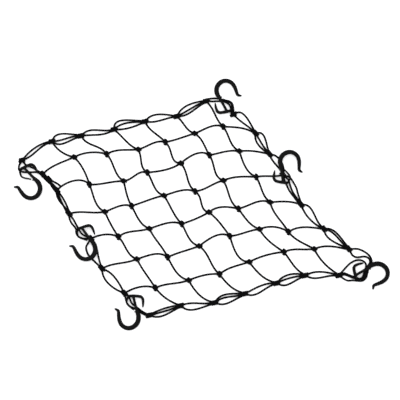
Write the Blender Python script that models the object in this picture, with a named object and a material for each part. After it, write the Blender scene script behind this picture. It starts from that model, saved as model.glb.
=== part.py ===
"""Elastic cargo net with six hooks, lying slack on a flat surface.

Twelve runs of thin elastic cord, six each way, are knotted where they cross into seven by
seven square meshes. An edge cord runs round them two or three times and is knotted to the end
of each run. Six moulded hooks hang on the edge cord by their eyes.

The mesh cord, the edge cord with its knots and each hook are separate solids. The net lies
skewed, so that its corners are not square, and every strand rests on the surface between its
knots. Tables are in millimetres and degrees, seen from above, +X right and +Y back.
"""

import math
from collections import namedtuple

import bmesh
import bpy
from mathutils import Matrix, Vector

MM = 0.001

# ---- driving sizes of the net, in millimetres ----
MESHES = 7                          # meshes along each side
ACROSS_WAY = math.radians(12.0)     # direction of the runs that go across
ACROSS_STEP = 54.0                  # between the knots of a run across, as it lies slack
DOWN_WAY = math.radians(-53.4)      # direction of the runs that go to the front
DOWN_STEP = 51.8                    # between the knots of a run down
MIDDLE = Vector((-17.5, -7.5, 0.0))    # middle of the net's even lattice

CORD_RADIUS = 1.3
CORD_SIDES = 5
STRAND_STEPS = 4                    # lengths in a strand between two knots
ROUTE_STEP = 4.5                    # length of each step where a strand goes round a hook
GAP = 0.35                          # left between two pieces that touch

# ---- knots ----
KNOT_HEIGHT = 5.8
KNOT_MIDDLE = 2.7                   # height of a knot's middle above the surface
CROSS_REACH = 4.8                   # from a crossing knot's middle to where its strands leave
EDGE_REACH = 5.9                    # the same for the longer knots of the edge
BULGE = 5.0                         # how far a knot swells between two strands
BULGE_OF_CHORD = 0.92               # and how near to the line between their ends it stays
RIDGE_HALF_LENGTH = 2.3
RIDGE_OFFSET = 1.6                  # each of the two turns over a knot, from its middle line
VALLEY_DEPTH = 0.9                  # between the two turns
VALLEY_REACH = 1.1                  # the valley runs a little past the turns
CROWN = 0.15                        # how far the middle line stands over the turns at first
PORT_DROP = 0.12                    # downward slope of a strand as it leaves a knot
SWELL_GAP = math.radians(75.0)      # a swell of the knot about every so far round it
LEAST_SWELL_TURN = math.radians(16.0)
LEAST_COSINE = 0.2
SWELL_HEIGHTS = (-1.5, 1.3)
SPREAD_ROUNDS = 40
LEAST_APART = 1.12                  # of the cord's radius, half the way between two strands' ends

STEEPEST = 48.0                     # most that a strand turns at a crossing, in degrees
STEEPEST_AT_EDGE = 16.0             # and at a knot of the edge

# How far each knot is pulled from its place in the even lattice, to the right and to the back.
# A row for each run across, from the back edge to the front edge; a column for each run down,
# from the left edge to the right edge.
PULL_RIGHT = (
    (1, -1, -3, 1, 2, 5, 3, -2),
    (6, 7, 11, 13, 7, 5, 2, 5),
    (0, 4, 10, -2, 3, 0, -1, -2),
    (-9, 0, -7, -4, -3, -7, -3, -9),
    (-2, -7, -7, -4, -10, -12, -10, -10),
    (-13, -6, -6, -5, -5, -7, -10, -2),
    (-5, -5, -1, -1, -3, 4, 3, 9),
    (7, 7, 13, 11, 13, 9, 14, 12),
)
PULL_BACK = (
    (-24, -2, -3, -3, 0, -2, 14, -21),
    (-7, 12, 6, 3, 5, 9, 10, -13),
    (6, 5, 0, 4, 9, 12, 8, -8),
    (7, -1, -2, 5, 1, 9, 4, -4),
    (5, -3, 0, -3, 6, 1, 1, -14),
    (-5, 0, -8, 0, 6, 7, -9, -15),
    (-6, -8, -6, -7, 3, 9, 3, -8),
    (-2, 3, -3, 1, 8, 10, -1, -1),
)
# Turns in degrees to the left of the straight way to the next knot, of each strand as it
# leaves its first knot and as it comes to its second. For the runs across: a row for each run,
# a column for each strand of it. For the runs down: a row for each row of meshes, a column for
# each run.
LEAVE_ACROSS = (
    (15, 20, 20, 5, -5, 10, 10),
    (15, -5, -5, -10, 25, 5, 10),
    (10, 10, 0, 10, -10, 15, 5),
    (20, 20, 10, -5, 30, 5, 10),
    (10, 15, 5, 20, -5, 25, 25),
    (20, 10, 10, 15, 10, 15, 20),
)
COME_ACROSS = (
    (-5, -20, -5, -25, 0, -30, -20),
    (-50, -5, -30, 15, -45, -15, -10),
    (5, -25, -5, -25, -5, -10, 5),
    (-25, 0, -25, 5, -20, -30, -15),
    (5, -35, 0, -40, -5, -25, -15),
    (-25, 5, -15, -5, -10, 0, -15),
)
LEAVE_DOWN = (
    (-20, -20, 0, -15, 0, 10),
    (15, 5, 0, 5, 20, 0),
    (-10, -5, -5, 10, 0, -15),
    (-5, -10, 0, 15, 0, 0),
    (0, -5, -10, 10, -10, -15),
    (-5, -15, 15, -20, -15, -15),
    (-15, -20, -15, -15, -5, -15),
)
COME_DOWN = (
    (20, -15, 15, 0, 20, 10),
    (-10, 20, 30, 45, -5, 25),
    (30, 10, 30, 20, 35, 30),
    (5, 25, 10, 35, 25, 20),
    (25, -5, 30, -5, 20, 0),
    (0, 30, 10, 45, 10, 5),
    (15, 30, 25, 25, 20, 15),
)

# The strands of each length of the edge that has no hook, counted clockwise from the left back
# corner: how far, in degrees, each turns outward as it leaves its first knot and as it comes to
# its second.
EDGE_TURNS = {
    0: ((20, -20), (-10, -15)),
    1: ((55, -15), (-5, -10), (-40, 5)),
    2: ((35, 0), (-5, 20)),
    3: ((70, -15), (25, -15), (-15, 10)),
    4: ((40, -20), (-15, 0)),
    5: ((35, -20), (0, -5), (-25, 0)),
    7: ((70, -20), (-5, -5)),
    8: ((65, -15), (0, 10), (-35, 20)),
    9: ((45, -40), (-10, -5)),
    11: ((45, 5), (-20, 20)),
    12: ((40, -10), (25, 0), (-35, 10)),
    15: ((-5, -25), (-15, 25)),
    16: ((5, -40), (-10, 10), (-30, 35)),
    17: ((0, -35), (-20, 10)),
    18: ((5, -35), (0, 20), (-15, 40)),
    19: ((10, -40), (5, 15)),
    20: ((10, -35), (5, 0), (-10, 10)),
    22: ((25, -35), (-15, 25)),
    25: ((10, -15), (0, 5), (-10, 20)),
    26: ((-5, 15), (-20, 30)),
}
BARE_CORNER = (MESHES, MESHES)      # here the edge goes through a hook and has no knot

# ---- hooks ----
Hook = namedtuple("Hook", "name x y turn lift dip")
# Where each hook lies from the middle of the net's lattice, how far it is turned
# anticlockwise, and how far its head is lifted and its far end dips where it lies on cord.
HOOKS = (
    Hook("hook_back_right", 62.2, 183.4, -3.2, 0.0, 0.0),
    Hook("hook_right_middle", 163.8, 56.6, -23.6, 3.3, 0.0),
    Hook("hook_right_front", 296.7, -116.8, -90.3, 0.0, 0.0),
    Hook("hook_left_back", -283.2, 54.9, 192.8, 3.1, 2.6),
    Hook("hook_left_middle", -183.5, -51.0, 185.6, 3.3, 0.0),
    Hook("hook_left_front", -99.8, -168.6, 163.6, 0.0, 0.0),
)
CHAMFER = 0.9
CHAMFER_OF_HALF_WIDTH = 0.45        # most that the chamfers take of a narrow or thin section
CHAMFER_OF_HEIGHT = 0.28
HEAD_FOOT = -16.5                   # the head's lower edge, about which a lifted hook dips

Section = namedtuple("Section", "x y wide under over")
# Sections along the big hook, from its foot in the crossbar up the shank, round the bend and
# down to the flared tip.
BIG_HOOK = (
    Section(1.5, -13.3, 4.8, 0.8, 5.6),
    Section(-1.0, -9.6, 4.7, 2.9, 6.4),
    Section(-4.2, -4.1, 4.7, 2.9, 6.4),
    Section(-7.2, 0.9, 4.8, 2.9, 6.4),
    Section(-10.4, 6.0, 5.4, 2.9, 6.4),
    Section(-13.6, 10.6, 7.0, 2.9, 6.3),
    Section(-16.4, 15.1, 8.2, 2.0, 6.1),
    Section(-18.0, 20.2, 8.4, 0.0, 6.0),
    Section(-18.2, 26.2, 8.4, 0.0, 6.0),
    Section(-16.2, 31.9, 8.4, 0.0, 6.0),
    Section(-12.0, 37.1, 8.2, 0.0, 6.0),
    Section(-6.0, 40.2, 7.8, 0.0, 6.0),
    Section(0.8, 40.4, 7.4, 0.0, 6.0),
    Section(7.2, 37.6, 7.4, 0.0, 5.9),
    Section(12.0, 32.3, 7.2, 0.1, 5.8),
    Section(15.2, 25.9, 6.6, 0.2, 5.7),
    Section(17.4, 20.0, 5.6, 0.3, 5.6),
    Section(18.8, 16.8, 4.6, 0.4, 5.4),
    Section(22.2, 16.0, 3.8, 0.5, 5.2),
    Section(26.6, 15.6, 2.0, 0.6, 5.0),
)
# Sections along the head: the thin bar that closes the eye, from its free end by the neck, the
# crossbar, and the small hook that turns back beside the shank.
HEAD = (
    Section(-5.0, 7.6, 2.6, 0.0, 2.7),
    Section(0.4, 5.1, 3.1, 0.0, 2.7),
    Section(6.2, 2.4, 3.2, 0.0, 2.7),
    Section(9.6, -1.1, 3.4, 0.0, 2.7),
    Section(10.2, -5.5, 3.6, 0.0, 2.7),
    Section(9.9, -10.5, 4.0, 0.0, 2.7),
    Section(7.4, -12.9, 5.0, 0.0, 5.8),
    Section(1.2, -14.9, 5.3, 0.0, 5.8),
    Section(-5.4, -16.5, 5.3, 0.0, 5.8),
    Section(-11.0, -17.1, 5.3, 0.0, 5.8),
    Section(-15.0, -14.7, 5.0, 0.0, 5.8),
    Section(-17.2, -9.9, 4.6, 0.2, 5.6),
    Section(-18.4, -5.4, 3.8, 0.4, 5.4),
    Section(-19.2, -1.4, 2.4, 0.6, 5.0),
)

Lane = namedtuple("Lane", "enter shank eye rise bar leave")
ON_SURFACE = -1
# Ways for a strand through a hook's eye: under the neck and shank, up through the eye and over
# the bar. Places are in the hook's own plan, heights above its underside.
LANES = (
    Lane((-15.0, 8.6, ON_SURFACE), (-6.6, 4.2, ON_SURFACE), (0.2, 0.8, 2.0), (5.0, -1.1, 4.0),
         (10.0, -2.8, 4.3), (14.6, -5.1, 3.0)),
    Lane((-16.2, 5.7, ON_SURFACE), (-8.0, 1.5, ON_SURFACE), (-0.8, -2.2, 1.7), (4.4, -4.4, 4.0),
         (10.1, -5.8, 4.3), (14.6, -8.3, 3.0)),
    Lane((-17.8, 2.8, ON_SURFACE), (-9.4, -1.3, ON_SURFACE), (-1.4, -5.5, 1.2), (3.8, -7.5, 3.8),
         (10.1, -8.8, 4.3), (14.4, -11.8, 3.0)),
)

NET_BLACK = (0.012, 0.012, 0.013, 1.0)
HOOK_BLACK = (0.018, 0.018, 0.019, 1.0)

Pass = namedtuple("Pass", "hook first second before lane after")
# Strands that pass a hook: the two knots that each joins, where it lies on the surface before
# the hook's eye and after it, in the hook's own plan, and its lane through the eye, if any.
PASSES = (
    Pass(0, (6, 0), (7, 0), ((-26.0, 9.4),), 0, ((17.6, -11.5),)),
    Pass(0, (6, 0), (7, 0), ((-27.0, 4.6),), 1, ()),
    Pass(1, (7, 3), (7, 4), (), 0, ((19.2, -7.6), (27.6, -14.2))),
    Pass(1, (7, 3), (7, 4), (), 1, ((18.4, -14.0), (26.0, -21.4))),
    Pass(1, (7, 3), (7, 4), (), 2, ((15.8, -18.6), (22.4, -26.8))),
    Pass(2, (7, 6), (6, 7), ((-43.0, -8.5), (-38.2, 3.0), (-31.0, 11.2), (-22.6, 12.2)), 0,
         ((18.2, -10.6), (18.4, -18.0), (13.6, -27.0))),
    Pass(2, (7, 6), (6, 7), ((-33.2, -17.6), (-30.2, -9.0), (-30.0, 1.6), (-25.4, 7.6)), 1,
         ((15.2, -15.6), (11.4, -22.0), (6.0, -29.6))),
    Pass(2, (6, 7), (6, 7), ((-11.5, -31.0), (-19.0, -23.0), (-24.4, -13.0), (-24.0, -3.4)), 2,
         ((11.0, -17.0), (4.2, -23.4), (0.0, -30.0))),
    Pass(3, (0, 1), (0, 0), ((-22.4, 5.4),), 0, ((15.0, -14.0),)),
    Pass(3, (0, 1), (0, 0), ((-17.2, -8.4), (-11.5, -12.2), (-4.5, -17.4)), None, ()),
    Pass(4, (0, 5), (0, 4), ((-14.6, 44.0), (-8.8, 36.5), (-4.6, 26.0)), None, ()),
    Pass(4, (0, 5), (0, 4), ((-22.4, 39.0), (-20.2, 24.0)), None, ()),
    Pass(4, (0, 4), (0, 3), (), 0, ((19.5, -11.0), (24.0, -25.7))),
    Pass(4, (0, 4), (0, 3), (), 1, ((16.5, -15.1), (18.5, -26.6))),
    Pass(5, (0, 7), (0, 6), ((-22.8, 10.0),), 0, ()),
    Pass(5, (0, 7), (0, 6), ((-22.6, 6.0),), 1, ()),
)


def plan_way(angle):
    """Unit vector in plan at an angle in radians."""
    return Vector((math.cos(angle), math.sin(angle), 0.0))


def turned(way, angle):
    """A plan direction turned anticlockwise by an angle in radians."""
    return Matrix.Rotation(angle, 3, "Z") @ way


def plan_angle(way):
    """Angle of a direction seen from above, in radians."""
    return math.atan2(way.y, way.x)


def knot_middle(place):
    """Middle of a knot: its place in the even lattice, with its pull."""
    column, row = place
    half = MESHES / 2.0
    lattice = (MIDDLE + plan_way(ACROSS_WAY) * ACROSS_STEP * (column - half)
               + plan_way(DOWN_WAY) * DOWN_STEP * (row - half))
    return lattice + Vector((PULL_RIGHT[row][column], PULL_BACK[row][column], KNOT_MIDDLE))


def on_edge(place):
    """Whether a knot ties the edge cord."""
    return not (0 < place[0] < MESHES and 0 < place[1] < MESHES)


def rest_height():
    """Height of a strand's middle where it rests on the surface by a flat side."""
    return CORD_RADIUS * math.cos(math.pi / CORD_SIDES)


def hook_matrix(hook):
    """Placement of a hook, from its own plan to the net's frame."""
    place = Matrix.Translation(Vector((hook.x, hook.y, hook.lift)) + MIDDLE)
    spin = Matrix.Rotation(math.radians(hook.turn), 4, "Z")
    foot = Matrix.Translation((0.0, HEAD_FOOT, 0.0))
    dip = Matrix.Rotation(-math.radians(hook.dip), 4, "X")
    return place @ spin @ foot @ dip @ foot.inverted()


def smooth_points(points, spacing):
    """Points about one spacing apart on a smooth curve through the given points."""
    padded = [points[0] * 2.0 - points[1]] + list(points) + [points[-1] * 2.0 - points[-2]]
    result = [points[0].copy()]
    for index in range(1, len(padded) - 2):
        before, start, end, after = padded[index - 1:index + 3]
        steps = max(1, round((end - start).length / spacing))
        for step in range(1, steps + 1):
            t = step / steps
            result.append(0.5 * (
                2.0 * start + (end - before) * t
                + (2.0 * before - 5.0 * start + 4.0 * end - after) * t * t
                + (3.0 * start - before - 3.0 * end + after) * t * t * t))
    for point in result[1:-1]:
        point.z = max(point.z, rest_height())
    return result


class Strand:
    """One length of cord between two knots."""

    def __init__(self, ends, angles, edge, via=()):
        """Keep the knots, the plan angles at which the cord leaves them, and any way round."""
        self.ends = ends
        self.angles = list(angles)
        self.edge = edge
        self.via = via

    def reach(self, end):
        """Distance from a knot's middle to where this strand leaves it."""
        if not on_edge(self.ends[end]):
            return CROSS_REACH
        return EDGE_REACH if self.edge else EDGE_REACH + GAP

    def port(self, end):
        """Where this strand leaves a knot, a little below the knot's middle."""
        way = plan_way(self.angles[end]) + Vector((0.0, 0.0, -PORT_DROP))
        return knot_middle(self.ends[end]) + way.normalized() * self.reach(end)

    def points(self):
        """Middle line of the strand, from its first knot to its second."""
        start = self.port(0)
        end = self.port(1)
        if self.via:
            return smooth_points([start, *self.via, end], ROUTE_STEP)
        span = (end - start).xy.length
        leave = plan_way(self.angles[0]) * span
        arrive = plan_way(self.angles[1]) * -span
        points = [start]
        for step in range(1, STRAND_STEPS):
            t = step / STRAND_STEPS
            place = ((2 * t**3 - 3 * t**2 + 1) * start + (3 * t**2 - 2 * t**3) * end
                     + (t**3 - 2 * t**2 + t) * leave + (t**3 - t**2) * arrive)
            place.z = rest_height()
            points.append(place)
        return points + [end]


def mesh_strand(first, second, leave, come):
    """A strand of the mesh, with its turns in degrees as it leaves and as it comes."""
    way = plan_angle(knot_middle(second) - knot_middle(first))
    turns = []
    for place, turn in ((first, leave), (second, come)):
        most = STEEPEST_AT_EDGE if on_edge(place) else STEEPEST
        turns.append(math.radians(max(-most, min(most, turn))))
    return Strand((first, second), (way + turns[0], way + math.pi + turns[1]), edge=False)


def mesh_strands():
    """Every strand of the runs across and down."""
    strands = []
    for run in range(MESHES - 1):
        for step in range(MESHES):
            strands.append(mesh_strand((step, run + 1), (step + 1, run + 1),
                                       LEAVE_ACROSS[run][step], COME_ACROSS[run][step]))
            strands.append(mesh_strand((run + 1, step), (run + 1, step + 1),
                                       LEAVE_DOWN[step][run], COME_DOWN[step][run]))
    return strands


def edge_places():
    """Knots of the edge, clockwise from the left back corner."""
    back = [(column, 0) for column in range(MESHES)]
    right = [(MESHES, row) for row in range(MESHES)]
    front = [(MESHES - column, MESHES) for column in range(MESHES)]
    left = [(0, MESHES - row) for row in range(MESHES)]
    return back + right + front + left


def edge_strands():
    """Every strand of the edge cord, plain ones first and then those that pass a hook."""
    strands = []
    places = edge_places()
    passed = {frozenset((item.first, item.second)) for item in PASSES}
    for index, first in enumerate(places):
        second = places[(index + 1) % len(places)]
        if frozenset((first, second)) in passed or BARE_CORNER in (first, second):
            continue
        way = plan_angle(knot_middle(second) - knot_middle(first))
        for leave, come in EDGE_TURNS[index]:
            strands.append(Strand((first, second), (way + math.radians(leave),
                                                    way + math.pi + math.radians(come)), edge=True))
    return strands + [pass_strand(item) for item in PASSES]


def pass_strand(item):
    """A strand of the edge cord that goes under or through a hook.

    A lane starts past its first knot and ends before its second, where a knot lies in it.
    """
    matrix = hook_matrix(HOOKS[item.hook])
    floor = Vector((0.0, 0.0, rest_height()))
    ends = (knot_middle(item.first), knot_middle(item.second))
    via = [(matrix @ Vector((x, y, 0.0))).xy.to_3d() + floor for x, y in item.before]
    lane = []
    for x, y, height in (LANES[item.lane] if item.lane is not None else ()):
        place = matrix @ Vector((x, y, height))
        if height == ON_SURFACE:
            place.z = rest_height()
        if (place - ends[0]).xy.length <= EDGE_REACH + CORD_RADIUS:
            lane.clear()
        elif (place - ends[1]).xy.length > EDGE_REACH + CORD_RADIUS:
            lane.append(place)
    via += lane
    via += [(matrix @ Vector((x, y, 0.0))).xy.to_3d() + floor for x, y in item.after]
    angles = (plan_angle(via[0] - ends[0]), plan_angle(via[-1] - ends[1]))
    return Strand((item.first, item.second), angles, edge=True, via=via)


def spread_strands(strands):
    """Turn strands that leave a knot too close to each other until their ends fit side by side."""
    knots = {}
    for strand in strands:
        for end in (0, 1):
            knots.setdefault(strand.ends[end], []).append((strand, end))
    for place, leaving in knots.items():
        reach = EDGE_REACH if on_edge(place) else CROSS_REACH
        least = 2.0 * math.atan(LEAST_APART * CORD_RADIUS / reach)
        for _ in range(SPREAD_ROUNDS):
            leaving.sort(key=lambda item: item[0].angles[item[1]] % (2.0 * math.pi))
            for index, (strand, end) in enumerate(leaving):
                other, other_end = leaving[(index + 1) % len(leaving)]
                gap = (other.angles[other_end] - strand.angles[end]) % (2.0 * math.pi)
                if gap < least:
                    strand.angles[end] -= (least - gap) / 2.0
                    other.angles[other_end] += (least - gap) / 2.0


class CordMesh:
    """One closed mesh of strands that run into knots."""

    def __init__(self):
        """Start an empty mesh."""
        self.bm = bmesh.new()

    def ring(self, centre, way):
        """Add one ring of a strand, square to its way, with a flat side down."""
        way = way.normalized()
        side = way.cross(Vector((0.0, 0.0, 1.0))).normalized()
        up = side.cross(way)
        verts = []
        for index in range(CORD_SIDES):
            angle = math.pi / 2.0 + 2.0 * math.pi * index / CORD_SIDES
            offset = side * math.cos(angle) + up * math.sin(angle)
            verts.append(self.bm.verts.new(centre + offset * CORD_RADIUS))
        return verts

    def tube(self, strand):
        """Add a strand and return its two end rings, still open."""
        points = strand.points()
        rings = [self.ring(points[0], points[0] - knot_middle(strand.ends[0]))]
        for index in range(1, len(points) - 1):
            rings.append(self.ring(points[index], points[index + 1] - points[index - 1]))
        rings.append(self.ring(points[-1], knot_middle(strand.ends[1]) - points[-1]))
        for start, end in zip(rings, rings[1:]):
            for index in range(CORD_SIDES):
                after = (index + 1) % CORD_SIDES
                self.bm.faces.new((start[index], start[after], end[after], end[index]))
        return rings[0], rings[-1]

    def cap(self, ring):
        """Close the end of a strand."""
        self.bm.faces.new(ring)

    def seat(self, middle, angle):
        """Add the flat on a knot of the edge that the end of a mesh strand meets."""
        way = plan_way(angle) + Vector((0.0, 0.0, -PORT_DROP))
        return self.ring(middle + way.normalized() * EDGE_REACH, way)

    def swells(self, middle, reach, angles):
        """Add the points of a knot that swell out between its strands."""
        points = []
        around = sorted(angle % (2.0 * math.pi) for angle in angles)
        for index, angle in enumerate(around):
            gap = (around[(index + 1) % len(around)] - angle) % (2.0 * math.pi)
            count = max(1, round(gap / SWELL_GAP) - 1)
            for swell in range(1, count + 1):
                share = gap * swell / (count + 1)
                nearest = min(share, gap - share)
                if nearest < LEAST_SWELL_TURN:
                    continue
                out = min(BULGE, BULGE_OF_CHORD * reach / max(math.cos(nearest), LEAST_COSINE))
                for height in SWELL_HEIGHTS:
                    place = middle + plan_way(angle + share) * out + Vector((0.0, 0.0, height))
                    points.append(self.bm.verts.new(place))
        return points

    def knot(self, middle, reach, rings, seats, ridge_angle):
        """Close all strands at a knot into one lump with two turns of cord over it."""
        angles = [plan_angle(ring_middle(ring) - middle) for ring in rings + seats]
        lump = self.swells(middle, reach, angles)
        along = plan_way(ridge_angle) * RIDGE_HALF_LENGTH
        aside = plan_way(ridge_angle + math.pi / 2.0) * RIDGE_OFFSET
        top = Vector((middle.x, middle.y, KNOT_HEIGHT))
        bottom = Vector((middle.x, middle.y, 0.0))
        for one in (-1, 1):
            for other in (-1, 1):
                lump.append(self.bm.verts.new(top + along * one + aside * other))
                lump.append(self.bm.verts.new(bottom + along * one + aside * other))
        crown = Vector((0.0, 0.0, CROWN))
        valley = [self.bm.verts.new(top + along * one * VALLEY_REACH + crown) for one in (-1, 1)]
        corners = [vert for ring in rings + seats for vert in ring]
        hull = bmesh.ops.convex_hull(self.bm, input=corners + lump + valley)
        made = [item for item in hull["geom"] if isinstance(item, bmesh.types.BMFace)]
        lids = [face for face in made if any(set(face.verts) <= set(ring) for ring in rings)]
        bmesh.ops.delete(self.bm, geom=lids, context="FACES_ONLY")
        for vert in valley:
            vert.co.z -= VALLEY_DEPTH
        spare = [vert for vert in lump if not vert.link_faces]
        bmesh.ops.delete(self.bm, geom=spare, context="VERTS")

    def finish(self, name, material):
        """Turn the mesh to metres and put it in the scene."""
        bmesh.ops.recalc_face_normals(self.bm, faces=self.bm.faces)
        self.bm.transform(Matrix.Scale(MM, 4))
        return new_object(name, self.bm, material)


def ring_middle(ring):
    """Middle of a strand's end ring."""
    return sum((vert.co for vert in ring), Vector()) / len(ring)


def build_cord(name, strands, seated, material):
    """Make one cord from its strands, with seats for the strands that only meet its knots."""
    cord = CordMesh()
    rings = {}
    seats = {}
    own_knots = {place for strand in strands for place in strand.ends
                 if on_edge(place) == strand.edge}
    for strand in strands:
        for end, ring in enumerate(cord.tube(strand)):
            if strand.ends[end] in own_knots:
                rings.setdefault(strand.ends[end], []).append(ring)
            else:
                cord.cap(ring)
    for strand in seated:
        for end in (0, 1):
            place = strand.ends[end]
            if place in own_knots:
                seat = cord.seat(knot_middle(place), strand.angles[end])
                seats.setdefault(place, []).append(seat)
    for place in sorted(own_knots):
        reach = EDGE_REACH if on_edge(place) else CROSS_REACH
        cord.knot(knot_middle(place), reach, rings[place], seats.get(place, []),
                  ridge_angle(place))
    return cord.finish(name, material)


def ridge_angle(place):
    """Which way the turns over a knot lie: along the edge, or across a crossing by turns."""
    column, row = place
    if row in (0, MESHES):
        return ACROSS_WAY
    if column in (0, MESHES):
        return DOWN_WAY
    return ACROSS_WAY + math.radians(45.0 if (column + row) % 2 else -45.0)


def section_ring(bm, section, way):
    """Add one eight-sided ring of a hook, square to its way in plan."""
    side = turned(way.normalized(), math.pi / 2.0)
    half = section.wide / 2.0
    edge = min(CHAMFER, half * CHAMFER_OF_HALF_WIDTH,
               (section.over - section.under) * CHAMFER_OF_HEIGHT)
    outline = (
        (half, section.under + edge), (half, section.over - edge),
        (half - edge, section.over), (-half + edge, section.over),
        (-half, section.over - edge), (-half, section.under + edge),
        (-half + edge, section.under), (half - edge, section.under),
    )
    middle = Vector((section.x, section.y, 0.0))
    return [bm.verts.new(middle + side * out + Vector((0.0, 0.0, up))) for out, up in outline]


def swept(name, sections, material):
    """A bar swept through its sections, closed at both ends."""
    bm = bmesh.new()
    places = [Vector((item.x, item.y, 0.0)) for item in sections]
    rings = []
    for index, section in enumerate(sections):
        start = places[max(index - 1, 0)]
        end = places[min(index + 1, len(places) - 1)]
        rings.append(section_ring(bm, section, end - start))
    for start, end in zip(rings, rings[1:]):
        for index in range(len(start)):
            after = (index + 1) % len(start)
            bm.faces.new((start[index], start[after], end[after], end[index]))
    bm.faces.new(rings[0])
    bm.faces.new(rings[-1])
    bmesh.ops.recalc_face_normals(bm, faces=bm.faces)
    bm.transform(Matrix.Scale(MM, 4))
    return new_object(name, bm, material)


def new_object(name, bm, material):
    """Put a finished bmesh in the scene under its own name and material."""
    mesh = bpy.data.meshes.new(name)
    bm.to_mesh(mesh)
    bm.free()
    mesh.materials.append(material)
    mesh.shade_smooth()
    mesh.set_sharp_from_angle(angle=math.radians(40.0))
    thing = bpy.data.objects.new(name, mesh)
    bpy.context.collection.objects.link(thing)
    return thing


def build_hook(hook, material):
    """One moulded hook: the big hook and shank, joined to the head with its bar."""
    body = swept(hook.name, BIG_HOOK, material)
    head = swept(hook.name + "_head", HEAD, material)
    matrix = hook_matrix(hook)
    matrix.translation *= MM
    for thing in (body, head):
        thing.matrix_world = matrix
    join = body.modifiers.new("join_head", "BOOLEAN")
    join.operation = "UNION"
    join.solver = "EXACT"
    join.object = head
    head.hide_render = True
    head.display_type = "WIRE"
    return body


def material(name, colour, roughness):
    """A plain coloured material."""
    made = bpy.data.materials.new(name)
    made.use_nodes = True
    shader = made.node_tree.nodes["Principled BSDF"]
    shader.inputs["Base Color"].default_value = colour
    shader.inputs["Roughness"].default_value = roughness
    shader.inputs["Metallic"].default_value = 0.0
    return made


def build():
    """Make every piece of the net."""
    for thing in list(bpy.data.objects):
        bpy.data.objects.remove(thing, do_unlink=True)
    mesh = mesh_strands()
    edge = edge_strands()
    spread_strands(mesh + edge)
    build_cord("mesh_cord", mesh, [], material("mesh_cord", NET_BLACK, 0.8))
    build_cord("edge_cord", edge, mesh, material("edge_cord", NET_BLACK, 0.8))
    for hook in HOOKS:
        build_hook(hook, material(hook.name, HOOK_BLACK, 0.4))


build()
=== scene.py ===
"""Elastic cargo net with six moulded hooks, lying slack on a pale floor.

Every cord is a round tube that follows the net's layout, with the knots tied from turns of the
same cord, and every hook is one rounded moulding. Tables are in millimetres and degrees, seen
from above, +X right and +Y back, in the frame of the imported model.
"""

import logging
import math
from dataclasses import dataclass, field
from enum import Enum
from typing import Callable, Iterable, NamedTuple, Optional, Sequence, Union

import bmesh
import bpy
from mathutils import Matrix, Vector

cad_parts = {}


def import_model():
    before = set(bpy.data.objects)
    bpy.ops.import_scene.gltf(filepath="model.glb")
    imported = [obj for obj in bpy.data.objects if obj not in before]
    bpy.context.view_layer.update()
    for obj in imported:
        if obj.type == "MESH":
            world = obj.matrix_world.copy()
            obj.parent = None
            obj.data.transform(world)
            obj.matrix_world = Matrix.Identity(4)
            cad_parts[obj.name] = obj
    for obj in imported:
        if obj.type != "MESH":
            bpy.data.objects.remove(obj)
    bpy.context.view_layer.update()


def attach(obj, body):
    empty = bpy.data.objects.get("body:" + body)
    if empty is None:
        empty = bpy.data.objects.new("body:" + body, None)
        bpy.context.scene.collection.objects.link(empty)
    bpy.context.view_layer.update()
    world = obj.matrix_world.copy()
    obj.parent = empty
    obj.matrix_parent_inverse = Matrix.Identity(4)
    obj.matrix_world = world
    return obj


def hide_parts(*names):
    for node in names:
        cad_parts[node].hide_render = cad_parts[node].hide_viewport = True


LOG = logging.getLogger("cargo_net")
MM = 0.001
BRAID_MAP = "braid"
WELD_DISTANCE = 0.0002              # between points that become one, in millimetres
Place = tuple[int, int]
SocketValue = Union[float, Sequence[float], bpy.types.NodeSocket]


# ---- materials ----

def linear(hex_colour: str) -> tuple[float, float, float, float]:
    """Turn an sRGB hex colour to linear.

    Args:
        hex_colour: Six hex digits.

    Returns:
        Linear red, green and blue, and an alpha of one.
    """
    shares = [int(hex_colour[index:index + 2], 16) / 255.0 for index in (0, 2, 4)]
    red, green, blue = (share / 12.92 if share <= 0.04045 else ((share + 0.055) / 1.055) ** 2.4
                        for share in shares)
    return red, green, blue, 1.0


def add_node(tree: bpy.types.NodeTree, kind: str,
             inputs: Optional[dict[Union[int, str], SocketValue]] = None,
             **settings: object) -> bpy.types.Node:
    """Add a shader node with its settings and links.

    Args:
        tree: The material's node tree.
        kind: Blender's name for the node.
        inputs: For an input's name or number, the value it has or the socket it is linked to.
        settings: Other properties of the node.

    Returns:
        The new node.
    """
    node = tree.nodes.new(kind)
    for name, value in settings.items():
        setattr(node, name, value)
    for key, value in (inputs or {}).items():
        if isinstance(value, bpy.types.NodeSocket):
            tree.links.new(value, node.inputs[key])
        else:
            node.inputs[key].default_value = value
    return node


def blank_material(name: str) -> tuple[bpy.types.Material, bpy.types.NodeTree, bpy.types.Node]:
    """Make a material that holds only its shader.

    Args:
        name: The material's name.

    Returns:
        The material, its node tree and its Principled shader.
    """
    material = bpy.data.materials.new(name)
    material.use_nodes = True
    tree = material.node_tree
    tree.nodes.clear()
    shader = add_node(tree, "ShaderNodeBsdfPrincipled")
    add_node(tree, "ShaderNodeOutputMaterial", {"Surface": shader.outputs["BSDF"]})
    return material, tree, shader


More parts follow.
